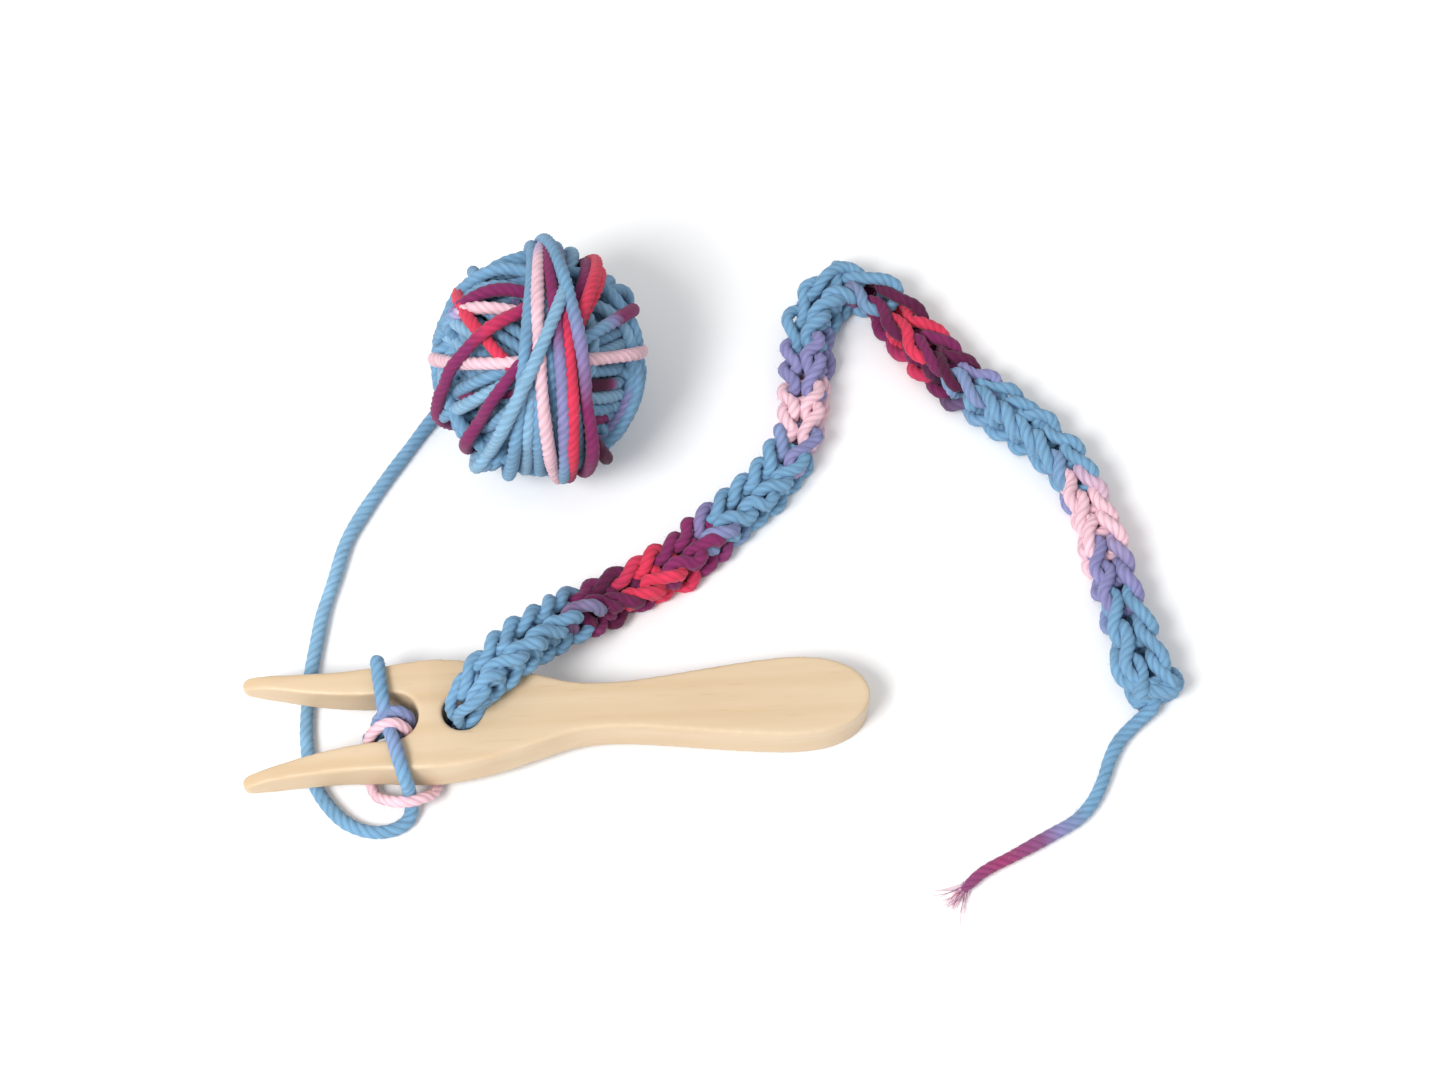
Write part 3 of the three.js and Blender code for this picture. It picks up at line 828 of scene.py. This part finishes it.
def surface_turns():
    """The turns that show, from the lowest to the last wound: marks, heights and dye."""
    crimson = CORAL * 0.6 + MAGENTA * 0.4
    mauve = LAVENDER * 0.5 + PLUM * 0.5
    rows = [
        ([(-0.9, 0.42), (-0.12, -0.16)], LOW, plain(BLUE)),
        ([(-0.95, 0.28), (-0.12, -0.29)], LOW, plain(SKY)),
        ([(-0.97, 0.12), (-0.12, -0.42)], LOW, plain(BLUE)),
        ([(-0.97, -0.04), (-0.12, -0.56)], LOW, plain(BLUE)),
        ([(-0.74, -0.36), (-0.4, -0.3)], LOW, spot(PLUM, -0.4, 1.2, MAGENTA)),
        ([(0.5, 0.82), (0.9, 0.4)], LOW, plain(BLUE)),
        ([(0.4, 0.72), (0.86, 0.28)], LOW, plain(DEEP_BLUE)),
        ([(0.42, -0.19), (0.93, -0.2)], LOW, spot(DARK_PLUM, -0.2, 0.6, PLUM)),
        ([(0.42, -0.32), (0.93, -0.32)], MIDDLE, plain(SKY)),
        ([(0.42, -0.06), (0.96, -0.04)], MIDDLE, plain(BLUE)),
        ([(0.42, -0.45), (0.88, -0.45)], MIDDLE, plain(BLUE)),
        ([(0.4, -0.57), (0.8, -0.56)], LOW, spot(PLUM, -0.2, 1.2, PLUM)),
        ([(0.38, -0.69), (0.7, -0.69)], LOW, spot(LAVENDER, -0.2, 1.4)),
        ([(-0.8, 0.55), (-0.05, 0.9)], MIDDLE, plain(BLUE)),
        ([(-0.72, 0.62), (-0.08, 0.3)], MIDDLE, plain(BLUE)),
        ([(-0.84, 0.5), (-0.08, 0.15)], MIDDLE, plain(BLUE)),
        ([(-0.76, 0.36), (-0.08, 0.0)], MIDDLE, plain(SKY)),
        ([(-0.93, -0.32), (-0.16, 0.0)], MIDDLE, plain(BLUE)),
        ([(-0.88, -0.47), (-0.16, -0.12)], MIDDLE, plain(SKY)),
        ([(-0.66, -0.72), (-0.18, -0.38)], MIDDLE, plain(BLUE)),
        ([(-0.58, -0.8), (-0.1, -0.56)], MIDDLE, plain(BLUE)),
        ([(0.95, 0.36), (0.45, 0.17)], MIDDLE, plain(BLUE)),
        ([(0.96, 0.22), (0.45, 0.04)], MIDDLE, plain(SKY)),
        ([(0.6, 0.3), (0.52, 0.62)], MIDDLE, plain(SKY)),
        ([(-0.7, 0.69), (-0.03, 0.98)], UPPER, plain(BLUE)),
        ([(-0.64, 0.74), (-0.02, 0.9)], UPPER, plain(BLUE)),
        ([(0.2, 0.97), (0.62, 0.76)], UPPER, plain(BLUE)),
        ([(-0.93, -0.3), (-0.55, -0.82)], MIDDLE, plain(SKY)),
        ([(-0.8, -0.55), (-0.3, -0.93)], MIDDLE, plain(BLUE)),
        ([(0.95, -0.25), (0.6, -0.79)], MIDDLE, spot(LAVENDER, 0.3, 0.8)),
        ([(0.92, -0.38), (0.42, -0.9)], UPPER, plain(BLUE)),
        ([(0.97, 0.2), (0.75, 0.66)], MIDDLE, plain(BLUE)),
        ([(-0.66, 0.66), (-0.02, 0.82)], MIDDLE, plain(BLUE)),
        ([(0.45, 0.84), (0.94, 0.3)], MIDDLE, plain(BLUE)),
        ([(0.5, 0.7), (0.9, 0.34)], MIDDLE, plain(SKY)),
        ([(0.55, 0.76), (0.92, 0.36)], UPPER, plain(BLUE)),
        ([(-0.62, 0.5), (-0.06, 0.52)], UPPER, spot(PINK, -0.1, 1.1, LILAC)),
        ([(-0.66, 0.56), (-0.06, 0.74)], UPPER, spot(PLUM, -0.1, 1.1)),
        ([(0.9, 0.48), (0.5, 0.25)], TOP, spot(PLUM, -0.2, 0.4)),
        ([(0.46, 0.86), (0.36, 0.4)], TOP, spot(PLUM, -0.3, 1.1, MAGENTA)),
        ([(0.58, 0.8), (0.42, 0.34)], TOP, spot(CORAL, -0.4, 1.1, MAGENTA)),
        ([(0.52, 0.84), (0.45, 0.5)], OVER_TOP, spot(CORAL, -0.4, 1.1, MAGENTA)),
        ([(-0.76, 0.62), (-0.3, 0.07)], UPPER, spot(CORAL, -0.1, 1.05, PLUM)),
        ([(-0.97, 0.02), (-0.1, 0.02), (0.97, 0.1)], ACROSS, spot(PINK, -0.1, 1.1, LILAC)),
        (
            [(-0.1, 0.5), (-0.5, 0.22), (-0.93, -0.38)], OVER_TOP,
            [
                (-0.5, BLUE), (-0.3, MAGENTA), (0.0, MAGENTA), (0.25, crimson), (0.4, PLUM), (1.3, PLUM),
                (1.6, BLUE),
            ],
        ),
        ([(-0.09, 0.02), (-0.66, -0.72)], TOP, spot(PLUM, -0.1, 1.2)),
        ([(0.42, -0.5), (0.6, -0.78)], OVER_TOP, spot(DARK_PLUM, -0.2, 1.6, PLUM)),
        ([(0.26, 0.95), (0.36, 0.3), (0.4, -0.88)], UNDER_BAND, plain(BLUE)),
        ([(0.16, 0.97), (0.27, 0.3), (0.37, -0.9)], UNDER_BAND, plain(DEEP_BLUE)),
        ([(-0.04, 0.97), (-0.07, 0.0), (-0.24, -0.93)], BAND, plain(BLUE)),
        ([(0.0, 0.98), (0.0, 0.0), (-0.11, -0.95)], UNDER_BAND, plain(SKY)),
        ([(0.05, 0.98), (0.06, 0.0), (0.03, -0.97)], UNDER_BAND, plain(BLUE)),
        ([(0.08, 0.98), (0.17, 0.0), (0.27, -0.93)], UNDER_BAND, plain(BLUE)),
        ([(0.04, 0.98), (0.07, 0.0), (0.16, -0.95)], BAND, spot(PINK, 0.14, 1.2, LILAC)),
        (
            [(0.07, 0.97), (0.24, 0.1), (0.25, -0.93)], BAND,
            [(-0.1, BLUE), (0.0, PLUM), (0.38, PLUM), (0.5, LAVENDER), (0.8, LAVENDER), (1.0, BLUE)],
        ),
        (
            [(0.2, 0.93), (0.33, 0.0), (0.3, -0.93)], BAND,
            [(-0.1, BLUE), (0.2, PLUM), (0.4, CORAL), (0.9, CORAL), (1.0, MAGENTA), (1.2, PLUM), (1.4, BLUE)],
        ),
        (
            [(0.1, 0.97), (0.42, 0.05), (0.46, -0.85)], OVER_BAND,
            [(0.3, BLUE), (0.45, LAVENDER), (0.6, mauve), (0.7, PLUM), (1.2, PLUM), (1.5, BLUE)],
        ),
        ([(0.14, 0.27), (0.02, 0.0), (-0.34, -0.66)], OVER_BAND, plain(SKY)),
    ]
    return [turn_through(*row) for row in rows]


def settled(needed, reach):
    """How high a taut turn lies over what it crosses: it runs straight from one high place to the next.

    needed is the height that each point needs, and reach the length of the whole turn.
    """
    count = len(needed)
    apart = np.abs(np.arange(count)[:, None] - np.arange(count)[None])
    apart = np.minimum(apart, count - apart) * reach / count
    dip = apart**2 / (2 * BALL_RADIUS)
    high = np.where(apart < STIFF_REACH, needed[None] - dip, -1.0).max(1)
    for _ in range(3):
        high = 0.25 * np.roll(high, 1) + 0.5 * high + 0.25 * np.roll(high, -1)
    return high


def hidden(turn, ways, angles):
    """Where a turn runs deep in the ball's front: past its marks, and under the band if it is a side turn."""
    across = ways @ VIEW_RIGHT
    under = (across > BAND_FROM) & (across < BAND_TO) & (turn["heights"] not in BAND_LAYERS)
    start, end = turn["shown"]
    return (ways @ TOWARDS_CAMERA > FRONT) & (under | (angles < start) | (angles > end))


def yarn_ball():
    """The whole winding as one strand: each turn runs into the next round the back, over the earlier ones."""
    deep, shown = inner_turns(), surface_turns()
    turns = deep + shown
    line, shades = [], []
    # What has been wound so far: the way to each point, and how high it lies.
    wound = np.zeros((0, 4))
    for i, turn in enumerate(turns):
        before = turns[i - 1] if i else turn
        low, top = turn["heights"][0] * MM, turn["heights"][1] * MM
        around = 2 * math.pi * BALL_RADIUS * turn["reach"]
        touched = i >= len(deep) - LAST_INNER
        step = (OUTER_STEP_MM if touched else INNER_STEP_MM) * MM
        count = max(int(around * (1 + top / BALL_RADIUS) / step), 10)
        drift = rng.normal(0, 0.012)
        angles = np.linspace(-math.pi, math.pi, count, endpoint=False)
        share = np.minimum((angles + math.pi) / JOINT_ANGLE, 1.0)
        share = (share * share * (3 - 2 * share))[:, None]
        ways = (1 - share) * points_on(before, angles) + share * points_on(turn, angles)
        ways += drift * np.sin(3 * angles)[:, None] * turn["side"]
        ways /= np.linalg.norm(ways, axis=1)[:, None]
        under = np.zeros(count, bool)
        if i < len(deep):
            high = (1 - share[:, 0]) * before["heights"][0] * MM + share[:, 0] * low
        else:
            apart = np.linalg.norm(ways[:, None] - wound[None, :, :3], axis=2) * BALL_RADIUS
            lift = wound[None, :, 3] + np.sqrt(np.maximum(PRESSED**2 - apart**2, 0))
            needed = np.where(apart < PRESSED, lift, -1.0).max(1)
            needed[share[:, 0] < 0.6] = low
            under = hidden(turn, ways, angles)
            high = settled(np.where(under, DEEPEST * MM, np.clip(needed, low, top)), around)
        if touched:
            wound = np.vstack([wound, np.hstack([ways, high[:, None]])[~under]])
        line.append(BALL_CENTRE + ways * (BALL_RADII + high[:, None]))
        joint, own = dyed(before["dye"], [180]), dyed(turn["dye"], np.degrees(angles))
        shades.append((1 - share) * joint + share * own)
    line, shades = np.concatenate(line), np.concatenate(shades)
    for _ in range(2):
        line[1:-1] = 0.25 * line[:-2] + 0.5 * line[1:-1] + 0.25 * line[2:]
    line[:, 2] = np.maximum(line[:, 2], YARN_RADIUS + 0.3 * MM)
    made = spin("yarn_winding", line, shades, profile=BALL_PROFILE, fuzz=BALL_HAIRS, fuzz_from=len(line) // 2)
    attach(made, "ball")
    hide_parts("yarn_ball")


# ---------------------------------------------------------------- fork

# Lengths are in millimetres. The plan's edges are those of one half, and the other half mirrors it.
FORK_LENGTH = 170
FORK_THICKNESS = 12.6
TIP_THICKNESS = 7
TIP_ROUND = 1.8
SLOT_HALF_WIDTH = 6.9
SLOT_END = -37.4
HOLE_AT = -25.7
HOLE_RADIUS = 5.4
TAPER_FROM = -34
TAPER_BOW = 0.25
NOSE = 9
NOSE_AXIS = 0.42 * TIP_THICKNESS
NOSE_THINNING = 0.55
TILT = math.radians(2.6)
VOXEL_MM = 0.55
PLAN_STEP = 0.8
OUTER_EDGE = [
    [85, 0], [83.6, 4.3], [79.6, 8.2], [73, 10.9], [64, 11.7], [54, 11.1], [42, 9.7],
    [30, 8.1], [20, 7], [12, 6.7], [4, 7.5], [-5, 10.1], [-14, 12.9], [-23, 15], [-31, 16],
    [-39, 15.9], [-50, 15], [-62, 14.8], [-74, 15.4], [-83.2, 16.2],
]
INNER_EDGE = [
    [-83.2, 12.6], [-75, 10.9], [-65, 8.7], [-54, 7.2], [SLOT_END - SLOT_HALF_WIDTH, SLOT_HALF_WIDTH],
]


def fork_outline():
    """The fork's plan in millimetres, all the way round: handle, prong, slot, prong."""
    flat = [[x, y, 0] for x, y in OUTER_EDGE]
    side = smooth_line([[84.6, -2.6, 0]] + flat, PLAN_STEP)[:, :2]
    side = side[side[:, 1] >= 0]
    inner = smooth_line([[x, y, 0] for x, y in INNER_EDGE], PLAN_STEP)[:, :2]
    centre = (OUTER_EDGE[-1][1] + INNER_EDGE[0][1]) / 2
    tip = [
        (TIP_ROUND * (1 + math.cos(a)) - FORK_LENGTH / 2, centre + TIP_ROUND * math.sin(a))
        for a in np.linspace(0.5, 1.5, 9)[1:-1] * math.pi
    ]
    slot = [
        (SLOT_END + SLOT_HALF_WIDTH * (math.cos(a) - 1), SLOT_HALF_WIDTH * math.sin(a))
        for a in np.linspace(0.5, 0, 12)[1:-1] * math.pi
    ]
    half = [*map(tuple, side), *tip, *map(tuple, inner), *slot]
    return half + [(SLOT_END, 0)] + [(x, -y) for x, y in half[::-1] if abs(y) > 0.02]


def fork():
    """One board, sawn to its plan, planed thinner towards the tips and sanded round at every edge."""
    curve = bpy.data.curves.new("fork_plan", "CURVE")
    curve.dimensions = "2D"
    curve.fill_mode = "BOTH"
    curve.extrude = FORK_THICKNESS / 2 * MM
    hole = [
        (HOLE_AT + HOLE_RADIUS * math.cos(a), HOLE_RADIUS * math.sin(a))
        for a in np.linspace(0, 2 * math.pi, 49)[:-1]
    ]
    for outline in (fork_outline(), hole):
        spline = curve.splines.new("POLY")
        spline.points.add(len(outline) - 1)
        for point, (x, y) in zip(spline.points, outline):
            point.co = (x * MM, y * MM, 0, 1)
        spline.use_cyclic_u = True
    blank = bpy.data.objects.new("fork_blank", curve)
    bpy.context.collection.objects.link(blank)
    mesh = new_mesh(blank)
    bpy.data.objects.remove(blank)
    made = bpy.data.objects.new("lucet_fork", mesh)
    bpy.context.collection.objects.link(made)
    remesh = made.modifiers.new("even", "REMESH")
    remesh.mode = "VOXEL"
    remesh.voxel_size = VOXEL_MM * MM
    sand = made.modifiers.new("sand", "SMOOTH")
    sand.factor = 0.6
    sand.iterations = 9
    sanded = new_mesh(made)
    made.modifiers.clear()
    made.data = sanded
    at = np.array([v.co for v in sanded.vertices], float) / MM
    x, y, w = at[:, 0], at[:, 1], at[:, 2] + FORK_THICKNESS / 2
    taper = np.clip((TAPER_FROM - x) / (TAPER_FROM + FORK_LENGTH / 2), 0, 1)
    taper = taper * (1 - TAPER_BOW * (1 - taper))
    w = w * (1 - taper * (1 - TIP_THICKNESS / FORK_THICKNESS))
    nose = np.clip((NOSE - FORK_LENGTH / 2 - x) / NOSE, 0, 1)
    w = NOSE_AXIS + (w - NOSE_AXIS) * (1 - NOSE_THINNING * nose**2)
    turned = x * math.cos(TILT) + w * math.sin(TILT), y, w * math.cos(TILT) - x * math.sin(TILT)
    at = np.stack(turned, 1)
    low, high = (np.array(corner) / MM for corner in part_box("fork_body"))
    at[:, 0] += (low[0] + high[0] - at[:, 0].min() - at[:, 0].max()) / 2
    at[:, 2] += low[2] - at[:, 2].min()
    sanded.vertices.foreach_set("co", (at * MM).ravel())
    sanded.update()
    sanded.shade_smooth()
    sanded.materials.clear()
    sanded.materials.append(BIRCH)
    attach(made, "fork")
    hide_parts("fork_body")


def new_mesh(thing):
    """The mesh of a thing as its modifiers leave it."""
    bpy.context.view_layer.update()
    graph = bpy.context.evaluated_depsgraph_get()
    return bpy.data.meshes.new_from_object(thing.evaluated_get(graph))


# ---------------------------------------------------------------- floor and light

TABLE_REACH = 3.0
SKY_STRENGTH = 0.75
LAMP_POWER = 13
LAMP_SIZE = 0.45
LAMP_PLACE = (-0.55, -0.5, 0.95)
LAMP_AIM = (0.05, 0.05, 0)


def floor_and_light():
    material, _, shader = new_material("white table")
    shader.inputs["Base Color"].default_value = (0.9, 0.9, 0.905, 1)
    shader.inputs["Roughness"].default_value = 0.9
    corners = [(x * TABLE_REACH, y * TABLE_REACH, 0) for x, y in ((-1, -1), (1, -1), (1, 1), (-1, 1))]
    floor = mesh_object("floor", corners, [(0, 1, 2, 3)])
    floor.data.materials.append(material)
    world = bpy.data.worlds.new("studio")
    world.use_nodes = True
    background = world.node_tree.nodes["Background"]
    background.inputs["Color"].default_value = (1, 1, 1, 1)
    background.inputs["Strength"].default_value = SKY_STRENGTH
    bpy.context.scene.world = world
    lamp = bpy.data.lights.new("key", "AREA")
    lamp.energy = LAMP_POWER
    lamp.size = LAMP_SIZE
    light = bpy.data.objects.new("key", lamp)
    bpy.context.collection.objects.link(light)
    light.location = LAMP_PLACE
    light.rotation_euler = (Vector(LAMP_AIM) - light.location).to_track_quat("-Z", "Y").to_euler()


add_camera()
working_yarn()
lucet_cord()
slack_loop()
cast_on_bar()
tail()
prong_loops()
crotch_stitches()
yarn_ball()
fork()
floor_and_light()
bpy.context.scene.view_settings.view_transform = "Standard"
